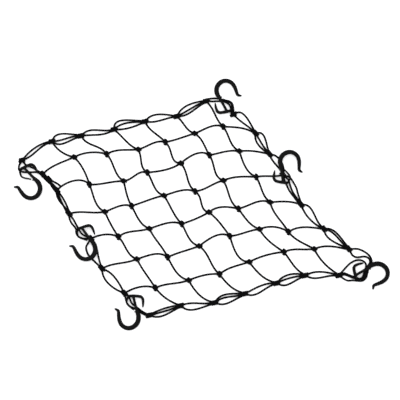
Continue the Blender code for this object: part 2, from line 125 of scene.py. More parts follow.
@dataclass(frozen=True)
class BraidedCordFinish:
    """Black polyester sheath, braided over rubber strands: dull, with diagonal yarns and painted
    shade in the grooves between them.

    The yarns are drawn coarser than on most cord of this thickness, so that they show.
    """

    yarn: str = "08080a"
    # Painted shade: the darker colour at the yarns' edges and in the grooves between them
    groove_shade: str = "030303"
    dust: str = "0f0f10"
    yarns_around: int = 6           # in each direction
    yarn_lead: float = 1.3          # along the cord from one yarn to the next, in millimetres
    yarn_height: float = 0.22       # in millimetres
    relief: float = 0.8             # how strongly that height shows
    fuzz_scale: float = 90.0        # patches of dust in a metre
    dust_range: tuple[float, float] = (0.52, 0.75)  # of the noise, where dust starts and ends
    most_dust: float = 0.5          # share of the dust's colour where it is thickest
    roughness: float = 0.82
    specular: float = 0.06

    def material(self) -> bpy.types.Material:
        """Make the material. It reads the cord's own map: share around, millimetres along."""
        material, tree, shader = blank_material("braided_polyester_sheath")
        chart = add_node(tree, "ShaderNodeUVMap", uv_map=BRAID_MAP)
        parts = add_node(tree, "ShaderNodeSeparateXYZ", {0: chart.outputs["UV"]})
        around = add_node(tree, "ShaderNodeMath",
                          {0: parts.outputs["X"], 1: float(self.yarns_around)}, operation="MULTIPLY")
        along = add_node(tree, "ShaderNodeMath",
                         {0: parts.outputs["Y"], 1: self.yarn_lead}, operation="DIVIDE")
        ways = [add_node(tree, "ShaderNodeMath", {0: around.outputs[0], 1: along.outputs[0]},
                         operation=operation) for operation in ("ADD", "SUBTRACT")]
        crowns = [self.crown(tree, way) for way in ways]
        cell = add_node(tree, "ShaderNodeCombineXYZ", {0: ways[0].outputs[0], 1: ways[1].outputs[0]})
        over = add_node(tree, "ShaderNodeTexChecker", {"Vector": cell.outputs[0], "Scale": 1.0})
        height = add_node(tree, "ShaderNodeMix",
                          {"Factor": over.outputs["Fac"], "A": crowns[0], "B": crowns[1]})
        place = add_node(tree, "ShaderNodeTexCoord")
        fuzz = add_node(tree, "ShaderNodeTexNoise",
                        {"Vector": place.outputs["Object"], "Scale": self.fuzz_scale,
                         "Detail": 6.0})
        # Painted shade: the colour darkens from each yarn's crown to the grooves, following the same
        # height that drives the bump
        shaded_tone = add_node(tree, "ShaderNodeMix",
                        {"Factor": height.outputs["Result"], "A": linear(self.groove_shade),
                         "B": linear(self.yarn)}, data_type="RGBA")
        dusty = add_node(tree, "ShaderNodeMapRange",
                         {"Value": fuzz.outputs["Fac"], "From Min": self.dust_range[0],
                          "From Max": self.dust_range[1], "To Max": self.most_dust})
        colour = add_node(tree, "ShaderNodeMix",
                          {"Factor": dusty.outputs["Result"], "A": shaded_tone.outputs["Result"],
                           "B": linear(self.dust)}, data_type="RGBA")
        bump = add_node(tree, "ShaderNodeBump",
                        {"Strength": self.relief, "Distance": self.yarn_height * MM,
                         "Height": height.outputs["Result"]})
        tree.links.new(colour.outputs["Result"], shader.inputs["Base Color"])
        tree.links.new(bump.outputs["Normal"], shader.inputs["Normal"])
        shader.inputs["Roughness"].default_value = self.roughness
        shader.inputs["Specular IOR Level"].default_value = self.specular
        return material

    def crown(self, tree: bpy.types.NodeTree, way: bpy.types.Node) -> bpy.types.NodeSocket:
        """Round the top of one set of yarns.

        Args:
            tree: The material's node tree.
            way: The node that counts the yarns of this set.

        Returns:
            The height across each yarn, from nought at its edges to one at its middle.
        """
        turn = add_node(tree, "ShaderNodeMath", {0: way.outputs[0], 1: math.pi},
                        operation="MULTIPLY")
        wave = add_node(tree, "ShaderNodeMath", {0: turn.outputs[0]}, operation="SINE")
        return add_node(tree, "ShaderNodeMath", {0: wave.outputs[0]},
                        operation="ABSOLUTE").outputs[0]


@dataclass(frozen=True)
class MouldedNylonFinish:
    """Black injection-moulded nylon: satin, with a faint grain from the mould."""

    black: str = "050505"
    scuffed: str = "0b0b0c"
    roughness: float = 0.36
    grain_size: float = 0.5         # in millimetres
    grain_height: float = 0.02      # in millimetres
    relief: float = 0.35            # how strongly that height shows
    flow_scale: float = 120.0       # worn patches in a metre
    worn_range: tuple[float, float] = (0.5, 0.8)    # of the noise, where wear starts and ends
    gloss_range: tuple[float, float] = (0.3, 0.8)   # of the noise, where gloss is most and least
    rougher: float = 0.14           # added to the roughness where gloss is least
    ior: float = 1.53
    specular: float = 0.06

    def material(self) -> bpy.types.Material:
        """Make the material."""
        material, tree, shader = blank_material("moulded_nylon")
        place = add_node(tree, "ShaderNodeTexCoord")
        grain = add_node(tree, "ShaderNodeTexNoise",
                         {"Vector": place.outputs["Object"], "Scale": 1.0 / (self.grain_size * MM),
                          "Detail": 2.0})
        flow = add_node(tree, "ShaderNodeTexNoise",
                        {"Vector": place.outputs["Object"], "Scale": self.flow_scale,
                         "Detail": 4.0})
        worn = add_node(tree, "ShaderNodeMapRange",
                        {"Value": flow.outputs["Fac"], "From Min": self.worn_range[0],
                         "From Max": self.worn_range[1]})
        colour = add_node(tree, "ShaderNodeMix",
                          {"Factor": worn.outputs["Result"], "A": linear(self.black),
                           "B": linear(self.scuffed)}, data_type="RGBA")
        gloss = add_node(tree, "ShaderNodeMapRange",
                         {"Value": flow.outputs["Fac"], "From Min": self.gloss_range[0],
                          "From Max": self.gloss_range[1], "To Min": self.roughness,
                          "To Max": self.roughness + self.rougher})
        bump = add_node(tree, "ShaderNodeBump",
                        {"Strength": self.relief, "Distance": self.grain_height * MM,
                         "Height": grain.outputs["Fac"]})
        tree.links.new(colour.outputs["Result"], shader.inputs["Base Color"])
        tree.links.new(gloss.outputs["Result"], shader.inputs["Roughness"])
        tree.links.new(bump.outputs["Normal"], shader.inputs["Normal"])
        shader.inputs["IOR"].default_value = self.ior
        shader.inputs["Specular IOR Level"].default_value = self.specular
        return material


@dataclass(frozen=True)
class LightTableFinish:
    """White light table: flat, bright and without gloss, lit from below."""

    white: str = "f7f7f7"
    glow: float = 0.3

    def material(self) -> bpy.types.Material:
        """Make the material."""
        material, _, shader = blank_material("white_light_table")
        shader.inputs["Base Color"].default_value = linear(self.white)
        shader.inputs["Emission Color"].default_value = linear("ffffff")
        shader.inputs["Emission Strength"].default_value = self.glow
        shader.inputs["Roughness"].default_value = 1.0
        shader.inputs["Specular IOR Level"].default_value = 0.0
        return material


# ---- meshes ----

def plan_way(angle: float) -> Vector:
    """Unit vector in plan at an angle in radians."""
    return Vector((math.cos(angle), math.sin(angle), 0.0))


def plan_angle(way: Vector) -> float:
    """Angle of a direction seen from above, in radians."""
    return math.atan2(way.y, way.x)


def smooth_line(points: Sequence[Vector], spacing: float) -> list[Vector]:
    """Put points about one spacing apart on a smooth curve through the given points.

    Args:
        points: Points of any dimension that the curve goes through.
        spacing: Wanted distance between the new points.

    Returns:
        The new points, the first and last given ones among them.
    """
    padded = [points[0] * 2.0 - points[1]] + list(points) + [points[-1] * 2.0 - points[-2]]
    result = [points[0].copy()]
    for index in range(1, len(padded) - 2):
        before, start, end, after = padded[index - 1:index + 3]
        steps = max(1, round((end - start).length / spacing))
        for step in range(1, steps + 1):
            t = step / steps
            result.append(0.5 * (
                2.0 * start + (end - before) * t
                + (2.0 * before - 5.0 * start + 4.0 * end - after) * t * t
                + (3.0 * start - before - 3.0 * end + after) * t * t * t))
    return result


def roll_up(bm: bmesh.types.BMesh, sides: int, lengths: int,
            spot: Callable[[float, int], Vector]) -> list[bmesh.types.BMFace]:
    """Roll a flat grid up into a tube, whose seam is welded later.

    Args:
        bm: The mesh that the tube is added to.
        sides: Faces around the tube.
        lengths: Faces along it.
        spot: Gives a point from its angle around and the number of its ring.

    Returns:
        The tube's faces.
    """
    grid = bmesh.ops.create_grid(bm, x_segments=sides, y_segments=lengths, size=1.0,
                                 calc_uvs=True)
    for vert in grid["verts"]:
        angle = math.pi * (vert.co.x + 1.0)
        ring = round((vert.co.y + 1.0) / 2.0 * lengths)
        vert.co = spot(angle % (2.0 * math.pi), ring)
    return list({face for vert in grid["verts"] for face in vert.link_faces})


def close_tubes(bm: bmesh.types.BMesh) -> None:
    """Weld the seams of rolled tubes, close their ends and turn all faces outward.

    Args:
        bm: The mesh that holds the tubes.
    """
    bmesh.ops.remove_doubles(bm, verts=bm.verts, dist=WELD_DISTANCE)
    bmesh.ops.holes_fill(bm, edges=[edge for edge in bm.edges if edge.is_boundary])
    bmesh.ops.recalc_face_normals(bm, faces=bm.faces)


def placed_object(name: str, bm: bmesh.types.BMesh,
                  material: bpy.types.Material) -> bpy.types.Object:
    """Turn a mesh from millimetres to metres and put it in the scene.

    Args:
        name: The piece's name.
        bm: The mesh, in millimetres, which is freed.
        material: Its material.

    Returns:
        The new object, at the origin.
    """
    bmesh.ops.scale(bm, vec=(MM, MM, MM), verts=bm.verts)
    mesh = bpy.data.meshes.new(name)
    bm.to_mesh(mesh)
    bm.free()
    mesh.materials.append(material)
    mesh.shade_smooth()
    thing = bpy.data.objects.new(name, mesh)
    bpy.context.collection.objects.link(thing)
    return thing


# ---- layout of the net ----

@dataclass(frozen=True)
class Layout:
    """Where the knots of the slack net lie."""

    side: float = 381.0             # one side of the net, pulled square
    meshes: int = 7                 # along each side
    across_way: float = math.radians(12.0)
    across_step: float = 54.0       # between the knots of a run across, as it lies slack
    down_way: float = math.radians(-53.4)
    down_step: float = 51.8         # between the knots of a run down
    middle: tuple[float, float] = (-17.5, -7.5)
    knot_height: float = 2.7        # of a knot's middle above the floor
    # How far each knot is pulled from its place in the even lattice, to the right and to the
    # back. A row for each run across, from the back edge to the front edge; a column for each
    # run down, from the left edge to the right edge.
    pull_right: tuple[tuple[int, ...], ...] = (
        (1, -1, -3, 1, 2, 5, 3, -2),
        (6, 7, 11, 13, 7, 5, 2, 5),
        (0, 4, 10, -2, 3, 0, -1, -2),
        (-9, 0, -7, -4, -3, -7, -3, -9),
        (-2, -7, -7, -4, -10, -12, -10, -10),
        (-13, -6, -6, -5, -5, -7, -10, -2),
        (-5, -5, -1, -1, -3, 4, 3, 9),
        (7, 7, 13, 11, 13, 9, 14, 12),
    )
    pull_back: tuple[tuple[int, ...], ...] = (
        (-24, -2, -3, -3, 0, -2, 14, -21),
        (-7, 12, 6, 3, 5, 9, 10, -13),
        (6, 5, 0, 4, 9, 12, 8, -8),
        (7, -1, -2, 5, 1, 9, 4, -4),
        (5, -3, 0, -3, 6, 1, 1, -14),
        (-5, 0, -8, 0, 6, 7, -9, -15),
        (-6, -8, -6, -7, 3, 9, 3, -8),
        (-2, 3, -3, 1, 8, 10, -1, -1),
    )
    # Turns in degrees to the left of the straight way to the next knot, of each strand as it
    # leaves its first knot and as it comes to its second. For the runs across: a row for each
    # run, a column for each strand of it. For the runs down: a row for each row of meshes, a
    # column for each run.
    leave_across: tuple[tuple[int, ...], ...] = (
        (15, 20, 20, 5, -5, 10, 10),
        (34, -5, -5, -10, 25, 5, 10),
        (10, 10, 0, 10, -10, 15, 5),
        (20, 20, 10, -5, 30, 5, 10),
        (10, 15, 5, 20, -5, 25, 25),
        (20, 10, 10, 15, 10, 15, 20),
    )
    come_across: tuple[tuple[int, ...], ...] = (
        (-5, -20, -5, -25, 0, -30, -20),
        (-50, -5, -30, 15, -45, -15, -10),
        (5, -25, -5, -25, -5, -10, 5),
        (-25, 0, -25, 5, -20, -30, -15),
        (5, -35, 0, -40, -5, -25, -15),
        (-25, 5, -15, -5, -10, 0, -15),
    )
    leave_down: tuple[tuple[int, ...], ...] = (
        (-20, -20, 0, -15, 0, 10),
        (15, 5, 0, 5, 20, 0),
        (-10, -5, -5, 10, 0, -15),
        (-5, -10, 0, 15, 0, 0),
        (0, -5, -10, 10, -10, -15),
        (-5, -15, 15, -20, -15, -15),
        (-15, -20, -15, -15, -5, -15),
    )
    come_down: tuple[tuple[int, ...], ...] = (
        (20, -15, 15, 0, 20, 10),
        (-10, 20, 30, 45, -5, 25),
        (30, 10, 30, 20, 35, 30),
        (5, 25, 10, 35, 25, 20),
        (25, -5, 30, -5, 20, 0),
        (0, 30, 10, 45, 10, 5),
        (15, 30, 25, 25, 20, 15),
    )

    @property
    def bare_corner(self) -> Place:
        """The corner where the edge goes through a hook and has no knot."""
        return self.meshes, self.meshes

    def knot_middle(self, place: Place) -> Vector:
        """Middle of a knot: its place in the even lattice, with its pull."""
        column, row = place
        half = self.meshes / 2.0
        lattice = (Vector((*self.middle, self.knot_height))
                   + plan_way(self.across_way) * self.across_step * (column - half)
                   + plan_way(self.down_way) * self.down_step * (row - half))
        return lattice + Vector((self.pull_right[row][column], self.pull_back[row][column], 0.0))

    def on_edge(self, place: Place) -> bool:
        """Whether a knot ties the edge cord."""
        return not (0 < place[0] < self.meshes and 0 < place[1] < self.meshes)

    def ridge_angle(self, place: Place) -> float:
        """Which way a knot's upper turns lie: along the edge, or across a crossing by turns."""
        column, row = place
        if row in (0, self.meshes):
            return self.across_way
        if column in (0, self.meshes):
            return self.down_way
        return self.across_way + math.radians(45.0 if (column + row) % 2 else -45.0)

    def edge_places(self) -> list[Place]:
        """Places round the edge, clockwise from the left back corner."""
        last = self.meshes
        steps = range(last)
        return ([(step, 0) for step in steps] + [(last, step) for step in steps]
                + [(last - step, last) for step in steps] + [(0, last - step) for step in steps])


# ---- hooks ----

class HookPlace(NamedTuple):
    """Where a hook lies from the net's middle, its turn, its head's lift and its tip's dip."""

    node: str
    x: float
    y: float
    turn: float
    lift: float
    dip: float


class Section(NamedTuple):
    """A section across a hook's bar: its place in plan, width, underside and top."""

    x: float
    y: float
    wide: float
    under: float
    over: float


@dataclass(frozen=True)
class HookShape:
    """One moulded hook in its own plan, with the eye's bar and the small hook."""

    head_foot: float = -16.5        # the head's lower edge, about which a lifted hook dips
    spacing: float = 1.1            # between the rings that are swept
    sides: int = 20
    roundness: float = 3.0          # power of the sections' outline: 2 is an ellipse
    grain: float = 0.42             # size of the cells that fuse the bars
    fillet_share: float = 0.5       # how far each round of smoothing goes
    fillet_rounds: int = 5
    end_rings: tuple[float, ...] = (30.0, 60.0, 82.0)   # degrees round a bar's rounded end
    # From its foot in the crossbar up the shank, round the bend and down to the flared tip.
    big_hook: tuple[Section, ...] = (
        Section(1.5, -13.3, 4.8, 0.8, 5.6),
        Section(-1.0, -9.6, 4.7, 2.9, 6.4),
        Section(-4.2, -4.1, 4.7, 2.9, 6.4),
        Section(-7.2, 0.9, 4.8, 2.9, 6.4),
        Section(-10.4, 6.0, 5.4, 2.9, 6.4),
        Section(-13.6, 10.6, 7.0, 2.9, 6.3),
        Section(-16.4, 15.1, 8.2, 2.0, 6.1),
        Section(-18.0, 20.2, 8.4, 0.0, 6.0),
        Section(-18.2, 26.2, 8.4, 0.0, 6.0),
        Section(-16.2, 31.9, 8.4, 0.0, 6.0),
        Section(-12.0, 37.1, 8.2, 0.0, 6.0),
        Section(-6.0, 40.2, 7.8, 0.0, 6.0),
        Section(0.8, 40.4, 7.4, 0.0, 6.0),
        Section(7.2, 37.6, 7.4, 0.0, 5.9),
        Section(12.0, 32.3, 7.2, 0.1, 5.8),
        Section(15.2, 25.9, 6.6, 0.2, 5.7),
        Section(17.4, 20.0, 5.8, 0.3, 5.6),
        Section(19.0, 16.6, 5.2, 0.4, 5.4),
        Section(22.0, 15.6, 4.4, 0.5, 5.2),
        Section(25.0, 15.2, 3.0, 0.6, 5.0),
    )
    # The thin bar that closes the eye, from its free end by the neck, the crossbar, and the
    # small hook that turns back beside the shank.
    head: tuple[Section, ...] = (
        Section(-5.0, 7.6, 2.6, 0.0, 2.7),
        Section(0.4, 5.1, 3.1, 0.0, 2.7),
        Section(6.2, 2.4, 3.2, 0.0, 2.7),
        Section(9.6, -1.1, 3.4, 0.0, 2.7),
        Section(10.2, -5.5, 3.6, 0.0, 2.7),
        Section(9.9, -10.5, 4.0, 0.0, 2.7),
        Section(7.4, -12.9, 5.0, 0.0, 5.8),
        Section(1.2, -14.9, 5.3, 0.0, 5.8),
        Section(-5.4, -16.5, 5.3, 0.0, 5.8),
        Section(-11.0, -17.1, 5.3, 0.0, 5.8),
        Section(-15.0, -14.7, 5.0, 0.0, 5.8),
        Section(-17.2, -9.9, 4.6, 0.2, 5.6),
        Section(-18.4, -5.4, 3.8, 0.4, 5.4),
        Section(-19.2, -1.4, 2.4, 0.6, 5.0),
    )
    # A small pointed lip on the neck, beside the free end of the bar.
    lip: tuple[Section, ...] = (
        Section(-12.6, 10.6, 3.0, 3.1, 6.0),
        Section(-10.4, 10.8, 2.6, 3.1, 5.8),
        Section(-8.0, 10.6, 1.6, 3.2, 5.4),
    )

    def bar(self, bm: bmesh.types.BMesh, sections: Sequence[Section]) -> None:
        """Sweep one bar through its sections, with rounded ends.

        Args:
            bm: The mesh that the bar is added to, in millimetres.
            sections: The sections that the bar goes through.
        """
        rows = smooth_line([Vector(section) for section in sections], self.spacing)
        rings = []
        for index, row in enumerate(rows):
            way = (rows[min(index + 1, len(rows) - 1)] - rows[max(index - 1, 0)]).to_2d().to_3d()
            rings.append((row, way.normalized()))
        rings = self.tip(rings[0], -1.0)[::-1] + rings + self.tip(rings[-1], 1.0)

        def spot(angle: float, ring: int) -> Vector:
            (x, y, wide, under, over), way = rings[ring]
            side = Vector((-way.y, way.x, 0.0))
            out = rounded(math.cos(angle), self.roundness) * wide / 2.0
            up = rounded(math.sin(angle), self.roundness) * (over - under) / 2.0
            return Vector((x, y, (under + over) / 2.0 + up)) + side * out

        roll_up(bm, self.sides, len(rings) - 1, spot)

    def tip(self, ring: tuple[Vector, Vector], onward: float) -> list[tuple[Vector, Vector]]:
        """Rings that round off the end of a bar.

        Args:
            ring: The last ring: its section and its way.
            onward: 1 where the bar ends along its way, -1 where it starts.

        Returns:
            Smaller and smaller rings, from the bar outward.
        """
        (x, y, wide, under, over), way = ring
        reach = min(wide, over - under) / 2.0
        rings = []
        for degrees in self.end_rings:
            angle = math.radians(degrees)
            shrink = math.cos(angle)
            place = Vector((x, y, 0.0)) + way * (onward * reach * math.sin(angle))
            middle = (under + over) / 2.0
            half = (over - under) / 2.0 - reach * (1.0 - shrink)
            rings.append((Vector((place.x, place.y, wide - 2.0 * reach * (1.0 - shrink),
                                  middle - half, middle + half)), way))
        return rings

    def mesh(self, material: bpy.types.Material) -> bpy.types.Mesh:
        """Fuse the bars into one moulding with filleted joints.

        Args:
            material: The hook's material.

        Returns:
            The moulding's mesh, in metres, in the hook's own plan.
        """
        bm = bmesh.new()
        for sections in (self.big_hook, self.head, self.lip):
            self.bar(bm, sections)
        close_tubes(bm)
        pattern = placed_object("hook_pattern", bm, material)
        fuse = pattern.modifiers.new("fuse", "REMESH")
        fuse.mode = "VOXEL"
        fuse.voxel_size = self.grain * MM
        fillet = pattern.modifiers.new("fillet", "SMOOTH")
        fillet.factor = self.fillet_share
        fillet.iterations = self.fillet_rounds
        depsgraph = bpy.context.evaluated_depsgraph_get()
        moulding = bpy.data.meshes.new_from_object(pattern.evaluated_get(depsgraph))
        bpy.data.objects.remove(pattern, do_unlink=True)
        moulding.shade_smooth()
        return moulding


def rounded(share: float, power: float) -> float:
    """Coordinate of a rounded rectangle's outline, from a cosine or sine of the angle."""
    return math.copysign(abs(share) ** (2.0 / power), share)


@dataclass(frozen=True)
class Hooks:
    """The six hooks that hang on the edge cord."""

    layout: Layout
    shape: HookShape = HookShape()
    places: tuple[HookPlace, ...] = (
        HookPlace("hook_back_right", 62.2, 183.4, -3.2, 0.0, 0.0),
        HookPlace("hook_right_middle", 163.8, 56.6, -23.6, 3.3, 0.0),
        HookPlace("hook_right_front", 296.7, -116.8, -90.3, 0.0, 0.0),
        HookPlace("hook_left_back", -283.2, 54.9, 192.8, 3.1, 2.6),
        HookPlace("hook_left_middle", -183.5, -51.0, 185.6, 3.3, 0.0),
        HookPlace("hook_left_front", -99.8, -168.6, 163.6, 0.0, 0.0),
    )

    def matrix(self, number: int) -> Matrix:
        """Place a hook.

        Args:
            number: Its number in the list of places.

        Returns:
            Its placement in millimetres, from its own plan to the net's frame.
        """
        hook = self.places[number]
        middle = Vector((*self.layout.middle, 0.0))
        place = Matrix.Translation(Vector((hook.x, hook.y, hook.lift)) + middle)
        spin = Matrix.Rotation(math.radians(hook.turn), 4, "Z")
        foot = Matrix.Translation((0.0, self.shape.head_foot, 0.0))
        dip = Matrix.Rotation(-math.radians(hook.dip), 4, "X")
        return place @ spin @ foot @ dip @ foot.inverted()

    def build(self, finish: MouldedNylonFinish) -> list[bpy.types.Object]:
        """Make every hook.

        Args:
            finish: What the hooks are made of.

        Returns:
            The hooks, each in place of its own node.
        """
        pattern = self.shape.mesh(finish.material())
        made = []
        for number, hook in enumerate(self.places):
            mesh = pattern.copy()
            matrix = self.matrix(number)
            matrix.translation *= MM
            mesh.transform(matrix)
            thing = bpy.data.objects.new("moulded_" + hook.node, mesh)
            bpy.context.collection.objects.link(thing)
            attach(thing, "root")
            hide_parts(hook.node)
            made.append(thing)
        bpy.data.meshes.remove(pattern)
        return made


# ---- cords ----

class Cord(Enum):
    """Which of the net's cords a strand belongs to."""

    MESH = "mesh"
    EDGE = "edge"


@dataclass
class Strand:
    """One length of cord between two knots."""

    ends: tuple[Place, Place]
    ways: tuple[float, float]       # directions in plan in which it leaves its two knots
    cord: Cord
    via: tuple[Vector, ...] = ()    # points on the way, where it goes round a hook
    angles: list[float] = field(init=False)     # where round its two knots it comes out

    def __post_init__(self) -> None:
        """Start with the strand coming out of its knots the way it goes."""
        self.angles = list(self.ways)


class Pass(NamedTuple):
    """A strand that passes a hook: its two knots and the points on its way.

    The points are in the hook's own plan. One of two numbers lies on the floor; a third number
    is its height over the hook's underside.
    """

    hook: int
    first: Place
    second: Place
    via: tuple[tuple[float, ...], ...]


# The strands of each length of the edge that has no hook, counted clockwise from the left back
# corner: how far, in degrees, each turns outward as it leaves its first knot and as it comes to
# its second.
EDGE_TURNS = {
    0: ((20, -20), (-10, -15)),
    1: ((55, -15), (-5, -10), (-40, 5)),
    2: ((35, 0), (-5, 20)),
    3: ((70, -15), (25, -15), (-15, 10)),
    4: ((40, -20), (-15, 0)),
    5: ((35, -20), (0, -5), (-25, 0)),
    7: ((70, -20), (-5, -5)),
    8: ((65, -15), (0, 10), (-35, 20)),
    9: ((45, -40), (-10, -5)),
    11: ((45, 5), (-20, 20)),
    12: ((40, -10), (25, 0), (-35, 10)),
    15: ((-5, -25), (-15, 25)),
    16: ((5, -40), (-10, 10), (-30, 35)),
    17: ((0, -35), (-20, 10)),
    18: ((5, -35), (0, 20), (-15, 40)),
    19: ((10, -40), (5, 15)),
    20: ((10, -35), (5, 0), (-10, 10)),
    22: ((25, -35), (-15, 25)),
    25: ((6, -22), (0, -6), (-6, 12)),
    26: ((1, -1), (0, 0), (-1, 1)),
}
PASSES = (
    Pass(0, (6, 0), (7, 0), ((-30.0, 6.8), (-24.0, 8.0), (-15.5, 8.2), (-8.5, 6.8),
                             (-3.6, 5.4, 2.4), (1.8, 4.6, 4.2), (6.8, 3.0, 4.5), (10.8, -0.8, 4.4),
                             (12.2, -5.6, 4.2), (13.0, -10.2, 3.4))),
    Pass(0, (6, 0), (7, 0), ((-30.6, 2.9), (-24.5, 2.4), (-16.0, 3.4), (-9.4, 3.4),
                             (-4.0, 3.0, 2.2), (1.2, 0.8, 4.0), (5.2, -2.2, 4.6), (7.4, -6.0, 4.8),
                             (9.0, -10.8, 4.6))),
    Pass(1, (7, 3), (7, 4), ((2.5, -9.0), (8.4, -14.5), (16.0, -21.6), (24.0, -26.8))),
    Pass(1, (7, 3), (7, 4), ((3.8, -4.6, 3.2), (9.4, -7.6, 4.6), (13.2, -11.8, 2.0),
                             (18.3, -17.2), (25.4, -23.6))),
    Pass(1, (7, 3), (7, 4), ((4.6, -1.4, 3.2), (10.2, -2.6, 4.6), (14.6, -4.6, 2.6),
                             (19.4, -7.4), (27.0, -13.6), (34.0, -22.6))),
    Pass(2, (7, 6), (6, 7), ((-43.8, -9.5), (-38.8, 2.2), (-31.4, 10.6), (-22.6, 13.6),
                             (-14.4, 10.6), (-7.6, 7.2), (-2.4, 5.6, 2.6), (3.6, 4.4, 4.4),
                             (8.6, 1.2, 4.5), (11.4, -3.4, 4.4), (11.6, -9.4, 4.0),
                             (10.8, -15.5, 2.6), (10.4, -20.5), (11.0, -27.3), (7.8, -34.6))),
    Pass(2, (7, 6), (6, 7), ((-32.6, -18.8), (-29.4, -11.4), (-30.8, 1.6), (-27.0, 9.4),
                             (-20.8, 10.6), (-14.6, 7.2), (-9.0, 4.4), (-3.6, 3.4, 2.2),
                             (2.4, 2.2, 4.2), (7.2, -1.0, 4.5), (9.6, -5.4, 4.5), (9.4, -10.6, 5.4),
                             (8.0, -14.6, 6.6), (6.2, -19.0, 3.0), (4.0, -23.8), (0.6, -33.0))),
    Pass(2, (6, 7), (6, 7), ((-10.0, -32.2), (-18.7, -23.5), (-24.2, -13.0), (-24.0, -3.2),
                             (-19.4, 3.0), (-13.0, 3.8), (-8.0, 1.6), (-2.8, 0.4, 2.2),
                             (2.6, -1.4, 3.6), (6.8, -4.8, 4.4), (7.6, -9.8, 5.4),
                             (5.8, -14.4, 7.4), (4.0, -19.2, 3.2), (1.8, -24.2), (-1.8, -33.0))),
    Pass(3, (0, 1), (0, 0), ((-16.7, -2.8), (-6.5, -4.9), (0.0, -6.2, -0.6), (4.2, -7.4, 1.6),
                             (8.6, -9.4, 4.2), (11.0, -13.0, 3.8), (10.6, -17.4, 0.4),
                             (9.4, -21.2))),
    Pass(3, (0, 1), (0, 0), ((-20.4, -4.1), (-16.7, -7.7), (-13.1, -11.2), (-5.3, -16.6),
                             (-1.4, -20.2))),
    Pass(4, (0, 5), (0, 4), ((-12.5, 42.4), (-6.3, 34.8), (-3.4, 27.6), (-2.6, 18.8))),
    Pass(4, (0, 5), (0, 4), ((-23.4, 45.2), (-21.8, 34.6), (-20.6, 24.1))),
    Pass(4, (0, 4), (0, 3), ((1.4, 4.4, 4.2), (7.4, 1.2, 4.5), (11.0, -3.0, 4.4),
                             (11.8, -8.4, 4.4), (11.8, -13.6, 3.2), (14.8, -18.8, 0.0),
                             (18.6, -24.4), (21.7, -32.5))),
    Pass(4, (0, 4), (0, 3), ((0.9, -2.5, 2.0), (5.2, -8.0, 4.8), (7.6, -13.2, 6.8),
                             (9.6, -18.4, 2.4), (11.8, -23.4), (15.0, -30.9))),
    Pass(5, (0, 7), (0, 6), ((-26.0, 10.4), (-18.4, 8.6), (-12.0, 6.4), (-7.6, 5.2),
                             (-3.4, 4.8, 2.6), (2.0, 4.0, 4.4), (7.6, 0.8, 4.5),
                             (11.2, -3.6, 4.4), (13.6, -8.0, 3.4))),
    Pass(5, (0, 7), (0, 6), ((-25.6, 7.4), (-18.2, 5.4), (-12.4, 3.0), (-7.4, 1.4),
                             (-2.2, -0.4, 2.0), (2.4, -3.6, 3.4), (6.0, -8.2, 4.8),
                             (10.2, -12.2, 4.6))),
)


class Winding(NamedTuple):
    """The turns of cord round a knot, in millimetres."""

    turns: float
    half_length: float              # from the knot's middle to the turns' ends
    half_height: float              # half the height between a turn's top and bottom
    height: float                   # of the turns' middle above the floor
    pitch: float                    # between two turns


